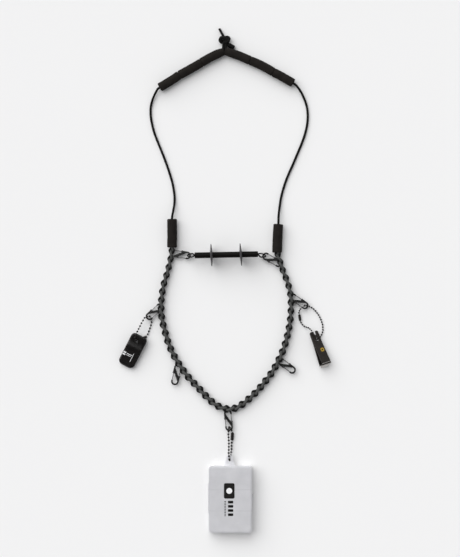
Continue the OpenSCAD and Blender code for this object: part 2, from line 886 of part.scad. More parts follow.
clip_gate_outer(clip_bottom);  // clip_bottom_gate_outer
clip_frame(clip_lower_right);  // clip_lower_right_frame
clip_gate_inner(clip_lower_right);  // clip_lower_right_gate_inner
clip_gate_outer(clip_lower_right);  // clip_lower_right_gate_outer
clip_frame(clip_upper_right);  // clip_upper_right_frame
clip_gate_inner(clip_upper_right);  // clip_upper_right_gate_inner
clip_gate_outer(clip_upper_right);  // clip_upper_right_gate_outer
tippet_tube();
tippet_cord();
spool_disc(disc_left_at);  // spool_disc_left
spool_disc(disc_right_at);  // spool_disc_right
straightener_back();
straightener_front();
straightener_liner(flap_t - flap_half);  // straightener_liner_back
straightener_liner(flap_half - flap_t - liner_t);  // straightener_liner_front
straightener_chain();
straightener_connector();
nipper_lower_leaf();
nipper_upper_leaf();
nipper_rivet();
nipper_chain();
nipper_connector();
box_tray();
box_lid();
box_hinge_pin();
box_chain();
box_connector();
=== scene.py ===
"""Looks of an angler's neck lanyard with accessories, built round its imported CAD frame."""

import math

import bpy
import numpy as np
from mathutils import Matrix, Vector


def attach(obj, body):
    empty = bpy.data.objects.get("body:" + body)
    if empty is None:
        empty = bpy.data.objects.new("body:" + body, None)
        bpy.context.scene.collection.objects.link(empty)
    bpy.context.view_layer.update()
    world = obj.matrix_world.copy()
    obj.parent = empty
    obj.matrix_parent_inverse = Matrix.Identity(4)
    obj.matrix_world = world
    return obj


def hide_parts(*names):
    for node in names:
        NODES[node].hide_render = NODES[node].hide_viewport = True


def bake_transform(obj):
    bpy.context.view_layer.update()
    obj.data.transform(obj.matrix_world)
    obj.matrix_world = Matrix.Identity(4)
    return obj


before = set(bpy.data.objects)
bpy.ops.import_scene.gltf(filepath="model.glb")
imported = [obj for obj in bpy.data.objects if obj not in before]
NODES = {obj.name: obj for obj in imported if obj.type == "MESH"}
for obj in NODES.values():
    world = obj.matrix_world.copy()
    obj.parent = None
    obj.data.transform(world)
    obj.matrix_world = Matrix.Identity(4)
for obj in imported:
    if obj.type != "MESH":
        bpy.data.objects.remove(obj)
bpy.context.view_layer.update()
MM = 0.001

# ---- Camera, straight above -------------------------------------------------------------------

VIEW_CENTRE = Vector((0.0074, 0.0026, 0.005))
VIEW_HEIGHT = 0.763
LENS = 100.0
SENSOR = 36.0

camera_data = bpy.data.cameras.new("camera")
camera_data.lens = LENS
camera_data.sensor_width = SENSOR
camera_data.clip_end = 30
camera = bpy.data.objects.new("camera", camera_data)
bpy.context.scene.collection.objects.link(camera)
camera.location = VIEW_CENTRE + Vector((0, 0, VIEW_HEIGHT / 2 * LENS / (SENSOR / 2)))
bpy.context.scene.camera = camera
bpy.context.scene.view_settings.view_transform = "Standard"

# ---- Mesh helpers -----------------------------------------------------------------------------


def smooth_path(points, step):
    """A Catmull-Rom curve through points, resampled at about that step. Points are in mm."""
    p = np.array(points, float)
    p = np.vstack([2 * p[0] - p[1], p, 2 * p[-1] - p[-2]])
    out = []
    for i in range(1, len(p) - 2):
        a, b, c, d = p[i - 1], p[i], p[i + 1], p[i + 2]
        for t in np.linspace(0, 1, 12, endpoint=False):
            out.append(0.5 * (2 * b + (c - a) * t + (2 * a - 5 * b + 4 * c - d) * t ** 2
                              + (3 * b - a - 3 * c + d) * t ** 3))
    out.append(p[-2])
    out = np.array(out)
    s = arc_lengths(out)
    n = max(2, int(round(s[-1] / step)) + 1)
    even = np.linspace(0, s[-1], n)
    return np.stack([np.interp(even, s, out[:, k]) for k in range(3)], 1)


def arc_lengths(p):
    return np.concatenate([[0], np.cumsum(np.linalg.norm(np.diff(p, axis=0), axis=1))])


def frames_along(p, closed=False):
    """Tangent, side and up vectors along a path, without twist."""
    ahead = np.roll(p, -1, 0) - np.roll(p, 1, 0)
    if not closed:
        ahead[0], ahead[-1] = p[1] - p[0], p[-1] - p[-2]
    t = ahead / np.linalg.norm(ahead, axis=1)[:, None]
    side = np.cross(t[0], [0, 0, 1.0])
    if np.linalg.norm(side) < 0.2:
        side = np.cross(t[0], [0, 1.0, 0])
    sides = []
    for v in t:
        side = side - v * side.dot(v)
        side = side / np.linalg.norm(side)
        sides.append(side)
    sides = np.array(sides)
    return t, sides, np.cross(sides, t)


def level_frames(p):
    """Tangent, side and up vectors along a path that lies nearly flat, with side kept level."""
    ahead = np.gradient(p, axis=0)
    t = ahead / np.linalg.norm(ahead, axis=1)[:, None]
    sides = np.cross(t, [0, 0, 1.0])
    sides /= np.linalg.norm(sides, axis=1)[:, None]
    return t, sides, np.cross(sides, t)


def mesh_object(name, verts, faces, uvs=None, matrix=None, smooth=True):
    """A mesh object from points in mm. matrix, in mm, places it. Its mirrored form keeps its faces outwards."""
    verts = np.array(verts, float)
    faces = [list(f) for f in faces]
    if matrix is not None:
        m = np.array(matrix, float)
        verts = verts @ m[:3, :3].T + m[:3, 3]
        if np.linalg.det(m[:3, :3]) < 0:
            faces = [f[::-1] for f in faces]
            uvs = None if uvs is None else [u[::-1] for u in uvs]
    mesh = bpy.data.meshes.new(name)
    mesh.from_pydata((verts * MM).tolist(), [], faces)
    if uvs is not None:
        layer = mesh.uv_layers.new(name="UVMap")
        layer.data.foreach_set("uv", np.array([x for u in uvs for c in u for x in c], np.float32))
    mesh.polygons.foreach_set("use_smooth", [smooth] * len(mesh.polygons))
    mesh.update()
    obj = bpy.data.objects.new(name, mesh)
    bpy.context.scene.collection.objects.link(obj)
    return obj


def tube_data(p, radius, sides, closed=False, caps=True, flat=1.0, level=False):
    """Points, faces and UVs of a tube along p, in mm. U is turns and V is length in mm."""
    p = np.array(p, float)
    t, side, up = level_frames(p) if level else frames_along(p, closed)
    n = len(p)
    r = np.broadcast_to(np.array(radius, float), (n,))
    angle = 2 * np.pi * np.arange(sides) / sides
    verts = (p[:, None] + r[:, None, None] * (np.cos(angle)[None, :, None] * side[:, None]
             + flat * np.sin(angle)[None, :, None] * up[:, None])).reshape(-1, 3)
    s = arc_lengths(p)
    faces, uvs = [], []
    for i in range(n if closed else n - 1):
        j = (i + 1) % n
        for k in range(sides):
            m = (k + 1) % sides
            faces.append((i * sides + k, i * sides + m, j * sides + m, j * sides + k))
            v0, v1 = s[i], s[i] + np.linalg.norm(p[j] - p[i])
            uvs.append(((k / sides, v0), ((k + 1) / sides, v0), ((k + 1) / sides, v1), (k / sides, v1)))
    if caps and not closed:
        for ring, order in ((0, range(sides - 1, -1, -1)), (n - 1, range(sides))):
            faces.append([ring * sides + k for k in order])
            uvs.append([(0.5 + 0.1 * math.cos(a), s[ring] + 0.1 * math.sin(a)) for a in angle])
    return verts, faces, uvs


def join_data(parts):
    verts, faces, uvs, base = [], [], [], 0
    for v, f, u in parts:
        verts.append(np.array(v, float))
        faces += [[i + base for i in g] for g in f]
        uvs += list(u)
        base += len(v)
    return np.vstack(verts), faces, uvs


def tube(name, p, radius, sides=10, **more):
    return mesh_object(name, *tube_data(p, radius, sides, **more))


def revolve_data(profile, segments=64):
    """A closed profile of (radius, height) turned round Z."""
    angle = 2 * np.pi * np.arange(segments) / segments
    n = len(profile)
    verts = [(r * math.cos(a), r * math.sin(a), z) for a in angle for r, z in profile]
    faces, uvs = [], []
    for i in range(segments):
        j = (i + 1) % segments
        for k in range(n):
            m = (k + 1) % n
            faces.append((i * n + k, j * n + k, j * n + m, i * n + m))
            uvs.append(((i / segments, k / n), ((i + 1) / segments, k / n),
                        ((i + 1) / segments, (k + 1) / n), (i / segments, (k + 1) / n)))
    return verts, faces, uvs


def plate_data(outline, z0, z1):
    """A flat plate with a convex outline of (x, y)."""
    n = len(outline)
    verts = [(x, y, z0) for x, y in outline] + [(x, y, z1) for x, y in outline]
    faces = [list(range(n - 1, -1, -1)), list(range(n, 2 * n))]
    faces += [(k, (k + 1) % n, n + (k + 1) % n, n + k) for k in range(n)]
    uvs = [[(verts[i][0], verts[i][1]) for i in f] for f in faces]
    return verts, faces, uvs


def rounded_rectangle(x0, y0, x1, y1, r, steps=6):
    points = []
    for cx, cy, start in ((x1 - r, y0 + r, -90), (x1 - r, y1 - r, 0),
                          (x0 + r, y1 - r, 90), (x0 + r, y0 + r, 180)):
        for k in range(steps + 1):
            a = math.radians(start + 90 * k / steps)
            points.append((cx + r * math.cos(a), cy + r * math.sin(a)))
    return points


def bevel(obj, width, segments=2, angle=35):
    m = obj.modifiers.new("bevel", "BEVEL")
    m.width = width * MM
    m.segments = segments
    m.limit_method = "ANGLE"
    m.angle_limit = math.radians(angle)
    m.harden_normals = False
    return obj


# ---- Materials --------------------------------------------------------------------------------


class Shader:
    """A Principled material with its nodes built in short calls."""

    def __init__(self, name, color, roughness, **sockets):
        self.mat = bpy.data.materials.new(name)
        self.mat.use_nodes = True
        self.tree = self.mat.node_tree
        self.bsdf = self.tree.nodes["Principled BSDF"]
        self.color = (*color, 1)
        self.bsdf.inputs["Base Color"].default_value = self.color
        self.bsdf.inputs["Roughness"].default_value = roughness
        for key, value in sockets.items():
            self.bsdf.inputs[key.replace("_", " ")].default_value = value
        self.height = None

    def node(self, kind, **sockets):
        n = self.tree.nodes.new(kind)
        for key, value in sockets.items():
            n.inputs[key.replace("_", " ")].default_value = value
        return n

    def coords(self, output="Object", scale=(1, 1, 1), rotation=(0, 0, 0)):
        source = self.node("ShaderNodeTexCoord")
        mapping = self.node("ShaderNodeMapping", Scale=scale, Rotation=rotation)
        self.tree.links.new(source.outputs[output], mapping.inputs["Vector"])
        return mapping.outputs["Vector"]

    def noise(self, scale, detail=3, coords=None):
        n = self.node("ShaderNodeTexNoise", Scale=scale, Detail=detail)
        self.tree.links.new(coords or self.coords(), n.inputs["Vector"])
        return n.outputs["Fac"]

    def wave(self, scale, coords, distortion=0.0, profile="SIN"):
        n = self.node("ShaderNodeTexWave", Scale=scale, Distortion=distortion)
        n.wave_profile = profile
        self.tree.links.new(coords, n.inputs["Vector"])
        return n.outputs["Fac"]

    def math(self, operation, a, b):
        n = self.node("ShaderNodeMath")
        n.operation = operation
        for i, v in enumerate((a, b)):
            if isinstance(v, (int, float)):
                n.inputs[i].default_value = v
            else:
                self.tree.links.new(v, n.inputs[i])
        return n.outputs[0]

    def ramp(self, fac, low, high, a=0.3, b=0.7):
        n = self.node("ShaderNodeValToRGB")
        n.color_ramp.elements[0].position = a
        n.color_ramp.elements[1].position = b
        n.color_ramp.elements[0].color = (*low, 1)
        n.color_ramp.elements[1].color = (*high, 1)
        self.tree.links.new(fac, n.inputs["Fac"])
        return n.outputs["Color"]

    def to_range(self, fac, low, high):
        n = self.node("ShaderNodeMapRange", To_Min=low, To_Max=high)
        self.tree.links.new(fac, n.inputs["Value"])
        return n.outputs["Result"]

    def tint(self, fac, low, high, a=0.3, b=0.7):
        """Colour from low to high times the base colour."""
        base = self.color[:3]
        self.set("Base Color", self.ramp(fac, [c * low for c in base], [c * high for c in base], a, b))
        return self

    def set(self, socket, output):
        self.tree.links.new(output, self.bsdf.inputs[socket])
        return self

    def bump(self, fac, strength, distance):
        n = self.node("ShaderNodeBump", Strength=strength, Distance=distance * MM)
        self.tree.links.new(fac, n.inputs["Height"])
        if self.height is not None:
            self.tree.links.new(self.height, n.inputs["Normal"])
        self.height = n.outputs["Normal"]
        self.tree.links.new(self.height, self.bsdf.inputs["Normal"])
        return self


def woven(name, color, roughness, turns, pitch):
    """The sheath of a braided cord: two sets of slanting yarns in UV, U in turns and V in mm."""
    s = Shader(name, color, roughness, Specular_IOR_Level=0.1)
    right = s.wave(1.0, s.coords("UV", (turns, 1 / pitch, 1), (0, 0, math.radians(45))))
    left = s.wave(1.0, s.coords("UV", (turns, 1 / pitch, 1), (0, 0, math.radians(-45))))
    weave = s.math("MAXIMUM", right, left)
    s.tint(weave, 0.55, 1.25, 0.2, 0.9)
    s.bump(weave, 0.7, 0.22)
    s.bump(s.noise(2500), 0.3, 0.05)
    return s.mat


def metal(name, color, roughness, scratch=0.12, metallic=1.0, **sockets):
    s = Shader(name, color, roughness, Metallic=metallic, **sockets)
    fine = s.noise(900, 5)
    s.tint(s.noise(260, 4), 0.8, 1.15)
    s.set("Roughness", s.to_range(fine, max(0.05, roughness - scratch), roughness + scratch))
    s.bump(fine, 0.15, 0.03)
    return s.mat


def foam_material():
    s = Shader("foam", (0.0112, 0.0092, 0.0080), 0.9, Specular_IOR_Level=0.15)
    cells = s.node("ShaderNodeTexVoronoi", Scale=1500)
    s.tree.links.new(s.coords(), cells.inputs["Vector"])
    s.tint(s.noise(140, 4), 0.75, 1.3)
    s.bump(cells.outputs["Distance"], 0.6, 0.22)
    s.bump(s.noise(160, 3), 0.5, 0.5)
    return s.mat


def leather_material():
    s = Shader("hide", (0.0026, 0.0018, 0.0016), 0.24,
               Specular_IOR_Level=0.3, Coat_Weight=0.2, Coat_Roughness=0.15)
    grain = s.node("ShaderNodeTexVoronoi", Scale=950)
    s.tree.links.new(s.coords(), grain.inputs["Vector"])
    s.tint(s.noise(120, 4), 0.7, 1.4)
    s.set("Roughness", s.to_range(s.noise(240, 4), 0.2, 0.36))
    s.bump(grain.outputs["Distance"], 0.25, 0.06)
    s.bump(s.noise(90, 3), 0.25, 0.25)
    return s.mat


def plastic(name, color, roughness, mottled=0.1, grain=700, depth=0.03, **sockets):
    s = Shader(name, color, roughness, **sockets)
    s.tint(s.noise(180, 4), 1 - mottled, 1 + mottled)
    s.set("Roughness", s.to_range(s.noise(grain, 4), roughness * 0.8, min(1, roughness * 1.2)))
    s.bump(s.noise(grain, 3), 0.3, depth)
    return s.mat


def frosted_material():
    s = Shader("frosted", (0.78, 0.78, 0.805), 0.42, IOR=1.46, Transmission_Weight=0.4, Specular_IOR_Level=0.5)
    # Painted shade: faint darker bands are painted into the lid's colour over the tray's two dividers, standing
    # in for the shade of the dividers seen through the lid
    place = s.node("ShaderNodeSeparateXYZ")
    s.tree.links.new(s.coords(), place.inputs["Vector"])
    shade = s.noise(60, 3)
    for y in (-0.285, -0.314):
        apart = s.math("ABSOLUTE", s.math("SUBTRACT", place.outputs["Y"], y), 0)
        shade = s.math("SUBTRACT", shade, s.math("MULTIPLY", s.math("LESS_THAN", apart, 0.0009), 0.35))
    # shade carries random tone and the painted divider shade
    s.tint(shade, 0.94, 1.04)
    s.set("Roughness", s.to_range(s.noise(500, 5), 0.34, 0.5))
    s.bump(s.noise(650, 4), 0.2, 0.04)
    return s.mat


MATERIALS = {
    "foam": foam_material(),
    "neck": woven("neck_sheath", (0.0042, 0.0040, 0.0038), 0.6, 4, 2.4),
    "grey": woven("grey_sheath", (0.066, 0.067, 0.065), 0.65, 4, 3.0),
    "black": woven("black_sheath", (0.0032, 0.0030, 0.0028), 0.6, 4, 3.0),
    "clip": metal("coated_clip", (0.006, 0.0056, 0.0052), 0.3, 0.1, 0.3, Coat_Weight=0.3, Coat_Roughness=0.15),
    "wire": metal("bright_wire", (0.16, 0.155, 0.16), 0.34),
    "steel": metal("steel", (0.52, 0.5, 0.48), 0.34),
    "chain": metal("black_chain", (0.014, 0.0115, 0.0105), 0.34, 0.1, 0.6),
    "tube": plastic("tube", (0.0030, 0.0024, 0.0018), 0.5, Specular_IOR_Level=0.08),
    "disc": plastic("disc", (0.045, 0.042, 0.045), 0.6, Specular_IOR_Level=0.35),
    "hide": leather_material(),
    "pad": plastic("pad", (0.015, 0.015, 0.015), 0.85, grain=1200, depth=0.12, Specular_IOR_Level=0.25),
    "nipper": metal("nipper_coat", (0.028, 0.024, 0.021), 0.42, 0.12, 0.6),
    "frosted": frosted_material(),
    "print_white": plastic("print_white", (0.75, 0.75, 0.76), 0.5),
    "print_black": plastic("print_black", (0.0045, 0.0036, 0.0032), 0.6, Specular_IOR_Level=0.2),
    "print_yellow": plastic("print_yellow", (0.33, 0.21, 0.014), 0.45),
}


def paint(obj, key):
    mesh = obj.data
    mesh.materials.clear()
    mesh.materials.append(MATERIALS[key])
    return obj


# ---- Neck cords and their sleeves -------------------------------------------------------------

LEFT_NECK = [
    (-1.7, 318, 6), (-2.1, 315.2, 6), (-3.4, 312.3, 6), (-32, 298, 6), (-62, 281, 6), (-89, 264, 6),
    (-93.2, 259.4, 5.1), (-96.6, 253, 3.9), (-99.4, 246, 2.8), (-101.3, 238, 2), (-101.6, 229, 1.7),
    (-100.5, 219, 1.6), (-97.2, 205, 1.6), (-92.5, 192, 1.6),
    (-86.6, 177.5, 1.6), (-81, 163, 1.6), (-76, 148.5, 1.6), (-71.6, 133.5, 1.6), (-69, 118, 1.7),
    (-68.8, 106, 3), (-70.4, 95, 5.4), (-72, 85, 6.6), (-72, 66.1, 6.6)]
RIGHT_NECK = [
    (1.7, 318, 6), (2.1, 315.4, 6), (3.6, 312.6, 6), (35, 301, 6), (67, 285, 6), (94, 270, 6),
    (101, 263.5, 5), (107, 254, 3), (112.4, 240, 1.8), (114, 227, 1.6), (113.2, 214, 1.6), (110, 200, 1.6),
    (105, 186, 1.6), (99.3, 172.5, 1.6), (93.4, 158.5, 1.6), (86.8, 143.5, 1.6), (82, 130.5, 1.6),
    (77.8, 115.5, 1.7), (75.4, 101, 3), (74, 89, 5.4), (73.65, 78, 6.6), (72.8, 59.2, 6.6)]
CORD_D = 3.2

for side, route in (("left", LEFT_NECK), ("right", RIGHT_NECK)):
    path = smooth_path(route, 2.0)
    path[:, 2] = np.maximum(path[:, 2], CORD_D / 2)
    cord = tube("neck_line_" + side, path, CORD_D / 2, 12)
    paint(cord, "neck")
    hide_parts("neck_cord_" + side)
    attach(cord, "lanyard")

CROWN_LEFT = [(0, 314), (-32, 298), (-62, 281), (-89, 264)]
CROWN_RIGHT = [(0, 314), (35, 301), (67, 285), (94, 270)]


def sleeve(name, a, b, z, radius, start, bow, start_taper=1.0, node=None):
    """A foam sleeve from a towards b. bow is how far its middle stands out sideways."""
    a, b = np.array((*a, z), float), np.array((*b, z), float)
    axis = (b - a) / np.linalg.norm(b - a)
    side = np.cross([0, 0, 1.0], axis)
    length = np.linalg.norm(b - a) - start - 0.05
    s = np.concatenate([[0, 0.15, 0.6, 1.4], np.linspace(2.4, length - 2.4, 22),
                        [length - 1.4, length - 0.6, length - 0.15, length]])
    edge = np.minimum(s, length - s)
    rounding = np.where(edge < 1.4, np.sqrt(np.clip(1 - (1 - edge / 1.4) ** 2, 0, 1)) * 1.4 - 1.4, 0)
    r = radius + rounding
    r *= 1 - (1 - start_taper) * np.clip(1 - s / 11, 0, 1) ** 1.5
    r[0], r[-1] = r[0] * 0.96, r[-1] * 0.96
    mid = np.sin(np.pi * s / length)
    p = a + np.outer(start + s, axis) + np.outer(bow * mid, side)
    v, f, u = tube_data(p, r, 32, level=True)
    low = v[:, 2] < 0.02
    v[low, 2] = 0.02
    obj = mesh_object(name, v, f, u)
    ripple = obj.modifiers.new("grain", "DISPLACE")
    texture = bpy.data.textures.new(name, "CLOUDS")
    texture.noise_scale = 0.006
    ripple.texture, ripple.texture_coords = texture, "LOCAL"
    ripple.strength, ripple.mid_level = 0.5 * MM, 0.7
    paint(obj, "foam")
    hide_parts(node)
    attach(obj, "lanyard")
    return obj


for side, joints, bows in (("left", CROWN_LEFT, (-0.9, 0.2, 0.3)), ("right", CROWN_RIGHT, (0.9, 0.9, 0.2))):
    for i in range(3):
        sleeve("foam_%s_%d" % (side, i + 1), joints[i], joints[i + 1], 6, 6, 0.3 if i == 0 else 0.05, bows[i],
               0.76 if i == 0 else 1.0, "upper_sleeve_%s_%d" % (side, i + 1))

LOWER = {"left": ((-72, 84), 270.0), "right": ((73.6, 77), 267.5)}
for side, (top, direction) in LOWER.items():
    a = math.radians(direction)
    end = (top[0] + 38.9 * math.cos(a), top[1] + 38.9 * math.sin(a))
    sleeve("foam_lower_" + side, top, end, 6.6, 6.6, 0.0, 0.3 if side == "left" else -0.3, 1.0,
           "lower_sleeve_" + side)

# ---- Crown knot -------------------------------------------------------------------------------

KNOT = np.array((0, 329.4, 5.8))
knot_turns = [(0, -14.0, 0.2), (0.2, -6.5, 0.6), (1.4, -1.5, 2.4), (-0.6, 2.6, 3.4), (-4.2, 2.6, 1.4),
              (-5.4, -0.8, -0.8), (-2.6, -3.4, -2.2), (1.6, -3.4, 2.6), (4.6, -1.4, 1.6),
              (5.2, 2.2, -0.6), (2.4, 4.2, -2.4), (-1.4, 2.2, -2.6)]
thin_tail = [(-1.6, 4.6, -1.6), (-3.6, 8.8, -2.4), (-7.2, 15.8, -3.8)]
thick_tail = [(1.0, -3.0, -1.4), (4.6, -6.0, -0.6), (8.6, -8.4, -1.6), (12.8, -10.6, -2.6)]
parts = []
for offset, tail in ((-1.3, thin_tail), (1.3, thick_tail)):
    shifted = [np.array(q) + np.array((offset * (1.25 if i < 2 else 0.8), 0, 0.4 * offset))
               for i, q in enumerate(knot_turns)]
    line = smooth_path([KNOT + q for q in shifted] + [KNOT + np.array(q) for q in tail], 0.9)
    line[:, 2] = np.maximum(line[:, 2], 1.6)
    radius = np.full(len(line), 1.95)
    # The cut ends: one cord swells at its end and the other thins
    grown = np.clip((np.arange(len(line)) - len(line) + 17) / 8, 0, 1)
    radius = radius + grown * (1.35 if offset > 0 else -0.35)
    parts.append(tube_data(line, radius, 12))
knot = mesh_object("knot", *join_data(parts))
paint(knot, "neck")
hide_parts("crown_knot")
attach(knot, "lanyard")

# ---- Braid ------------------------------------------------------------------------------------

BRAID = [
    (-72, 57.9, 6.6), (-72, 46, 6.5), (-74, 30, 5.1), (-78, 13, 4.8), (-83, -4, 4.8), (-86, -20, 4.8),
    (-87, -36, 4.8), (-86, -52, 4.8), (-82, -69, 4.8), (-77, -86, 4.8), (-70, -102, 4.8), (-61, -117, 4.8),
    (-50, -132, 4.8), (-37, -146, 4.8), (-24, -160, 4.8), (-11, -171, 4.8), (3, -176, 4.8), (17, -174, 4.8),
    (30, -165, 4.8), (43, -153, 4.8), (55, -139, 4.8), (66, -124, 4.8), (75, -107, 4.8), (82, -90, 4.8),
    (87, -71, 4.8), (90, -53, 4.8), (91, -35, 4.8), (90, -18, 4.8), (86, -2, 4.8), (80, 13, 4.8), (75.6, 27, 5.1),
    (71.95, 39, 6.5), (72.45, 50.8, 6.6)]
BRAID_PITCH = 23.0
STRAND_R = 1.85
core = smooth_path(BRAID, 0.8)
t, side, up = level_frames(core)
s = arc_lengths(core)
share = s / s[-1]
width = 1.0 + 0.14 * np.sin(np.pi * share) ** 0.7
strands = {"grey": [], "black": []}
for hand, colour in ((1, "grey"), (-1, "black")):
    for k in (0, 1):
        turn = 2 * np.pi * s / BRAID_PITCH + math.pi * k
        angle = math.pi / 2 + hand * turn
        if colour == "grey":
            # The grey strands run down the middle and change places quickly between top and bottom
            sideways = 1.15 * np.cos(angle) * width
            lift = 2.6 * np.sign(np.sin(angle)) * np.abs(np.sin(angle)) ** 0.5
        else:
            # The black strands lie outermost at the two sides
            reach = STRAND_R + hand * (0.7 + 0.45 * np.sin(np.pi * share)) * np.cos(2 * turn)
            sideways, lift = reach * np.cos(angle) * width, reach * np.sin(angle)
        line = core + sideways[:, None] * side + lift[:, None] * up
        line[:, 2] = np.maximum(line[:, 2], 1.95)
        strands[colour].append(tube_data(line, STRAND_R * (0.93 + 0.12 * np.sin(np.pi * share)), 12))
for colour, parts in strands.items():
    obj = mesh_object("braid_" + colour, *join_data(parts))
    paint(obj, colour)
    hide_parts("braid")
    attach(obj, "lanyard")

for side_name in ("left", "right"):
    paint(NODES["splice_" + side_name], "neck")

# ---- Clips ------------------------------------------------------------------------------------

CLIPS = {
    "bar_left": ((-70.2, 37.5), -10, False),
    "bar_right": ((73.2, 23.5), 150.3, False),
    "upper_left": ((-88.8, -36.5), 222, True),
    "lower_left": ((-64, -119.7), 257.6, False),
    "bottom": ((4.4, -182), 275, False),
    "lower_right": ((77.3, -111), -37.5, False),
    "upper_right": ((94.2, -23.3), -35, False),
}
CLIP_PITCH = 19.0
CLIP_Z = 4.8


def clip_matrix(c):
    m = Matrix.Translation((c[0][0], c[0][1], CLIP_Z)) @ Matrix.Rotation(math.radians(c[1]), 4, "Z")
    return m @ Matrix.Diagonal((1, -1 if c[2] else 1, 1, 1))


def ring_centre(c):
    a = math.radians(c[1])
    return np.array((c[0][0] + CLIP_PITCH * math.cos(a), c[0][1] + CLIP_PITCH * math.sin(a)))


gate_line = smooth_path([(0.3, 0, -1.1), (-0.4, 0, -1.55), (-2, 0, -1.55), (-5, 0, -1.55), (-8.4, 0, -1.5),
                         (-9.4, 0, -0.9), (-9.55, 0, 0), (-9.4, 0, 0.9), (-8.4, 0, 1.5), (-5, 0, 1.55),
                         (-2, 0, 1.55), (-0.4, 0, 1.55), (0.3, 0, 1.1), (0.35, 0, 0)], 0.45)
for name, clip in CLIPS.items():
    matrix = clip_matrix(clip)
    body = NODES["clip_%s_frame" % name]
    paint(body, "clip")
    bevel(body, 0.55, 3)
    for gate, place in (
            ("inner", Matrix.Translation((11.7, 4.15, 0))),
            ("outer", Matrix.Translation((CLIP_PITCH - 11.7, -4.15, 0)) @ Matrix.Rotation(math.pi, 4, "Z"))):
        cad = "clip_%s_gate_%s" % (name, gate)
        parts = [tube_data(gate_line, 0.5, 8, closed=True),
                 tube_data([(0, 0, -1.9), (0, 0, -1.2), (0, 0, 1.2), (0, 0, 1.9)], 0.5, 12)]
        wire = mesh_object("wire_%s_%s" % (name, gate), *join_data(parts), matrix=matrix @ place)
        paint(wire, "wire")
        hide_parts(cad)
        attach(wire, cad)

# ---- Tippet bar -------------------------------------------------------------------------------

BAR_MIDDLE = np.array((2.35, 34.95))
BAR_TURN = math.radians(1.13)
BAR_HALF = 43.15
BAR_Z = 15.3
BAR_MATRIX = (Matrix.Translation((*BAR_MIDDLE, BAR_Z)) @ Matrix.Rotation(BAR_TURN, 4, "Z")
              @ Matrix.Rotation(math.pi / 2, 4, "Y"))

paint(bevel(NODES["tippet_tube"], 0.4, 2), "tube")
core_line = [(0, 0, -BAR_HALF - 1.4), (0, 0, -BAR_HALF), (0, 0, 0), (0, 0, BAR_HALF), (0, 0, BAR_HALF + 1.4)]
core_parts = tube_data(core_line, 1.5, 12)
core_cord = mesh_object("bar_core", *core_parts, matrix=BAR_MATRIX)
paint(core_cord, "neck")
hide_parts("tippet_cord")
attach(core_cord, "tippet_bar")

for name, sign, clip in (("left", -1, "bar_left"), ("right", 1, "bar_right")):
    end = BAR_MIDDLE + sign * BAR_HALF * np.array((math.cos(BAR_TURN), math.sin(BAR_TURN)))
    to = ring_centre(CLIPS[clip]) - end
    d = np.linalg.norm(to)
    eye = [(0.7, 0.5, 15.3), (1.8, 1.3, 14.3), (d - 6.4, 2.1, 10.8), (d - 3.6, 1.8, 7.7), (d - 1.5, 1, 6.3),
           (d - 0.8, 0.1, 4.8), (d - 1.4, -0.9, 3.1), (d - 3.4, -1.9, 2.1), (d - 6.2, -2.5, 2.8),
           (d - 7.8, -2.4, 6.5), (d - 9, -1.8, 11), (1.4, -1.1, 14.2), (0.6, -0.5, 15.2)]
    place = Matrix.Translation((*end, 0)) @ Matrix.Rotation(math.atan2(to[1], to[0]), 4, "Z")
    loop = mesh_object("bar_eye_" + name, *tube_data(smooth_path(eye, 0.7), 0.97, 10), matrix=place)
    paint(loop, "neck")
    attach(loop, "tippet_bar")

for name, at, lean in (("left", -20.3, -1.2), ("right", 19.8, -3)):
    half = [(4.15, 1.5), (4.4, 1.7), (5, 1.6), (7, 1.35), (10, 1.05), (13.5, 0.75), (14.8, 0.55), (15.2, 0.3)]
    profile = [(r, -z) for r, z in half] + [(15.3, 0)] + half[::-1]
    # The discs are loose on the bar and lean a little
    place = BAR_MATRIX @ Matrix.Translation((0, 0, at)) @ Matrix.Rotation(math.radians(lean), 4, "X")
    disc = mesh_object("disc_" + name, *revolve_data(profile, 72), matrix=place)
    paint(disc, "disc")
    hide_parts("spool_disc_" + name)
    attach(disc, "spool_disc_" + name)

# ---- Leader straightener ----------------------------------------------------------------------

STRAP = (Matrix.Translation((-121.2, -82.5, 6.4)) @ Matrix.Rotation(math.radians(243), 4, "Z")
         @ Matrix.Rotation(math.radians(4.3), 4, "Y"))
STRAP_END = 8.9
STRAP_SIDE = 2.2
STRAP_W = 23.0
STRAP_T = 1.6
STRAP_CORNER = 5.0
FOLD_X = 34.7
FOLD_R = 2.6
FOLD_CORNER = 6.0


def strap_point(s):
    """A point of the strap's middle line, s from the open end of the back flap, with its outward normal."""
    flat = FOLD_X + STRAP_END
    half_turn = math.pi * FOLD_R
    if s < flat:
        return np.array((s - STRAP_END, 0, -FOLD_R)), np.array((0, 0, -1.0))
    if s < flat + half_turn:
        a = (s - flat) / FOLD_R
        n = np.array((math.sin(a), 0, -math.cos(a)))
        return np.array((FOLD_X, 0, 0)) + n * FOLD_R, n
    return np.array((FOLD_X - (s - flat - half_turn), 0, FOLD_R)), np.array((0, 0, 1.0))


def strap_wave(x):
    """The shallow roll across the flap below its chain hole, and its slight belly."""
    return 0.55 * math.exp(-((x - 9.5) / 3.2) ** 2) - 0.25 * math.exp(-((x - 1.5) / 4) ** 2)


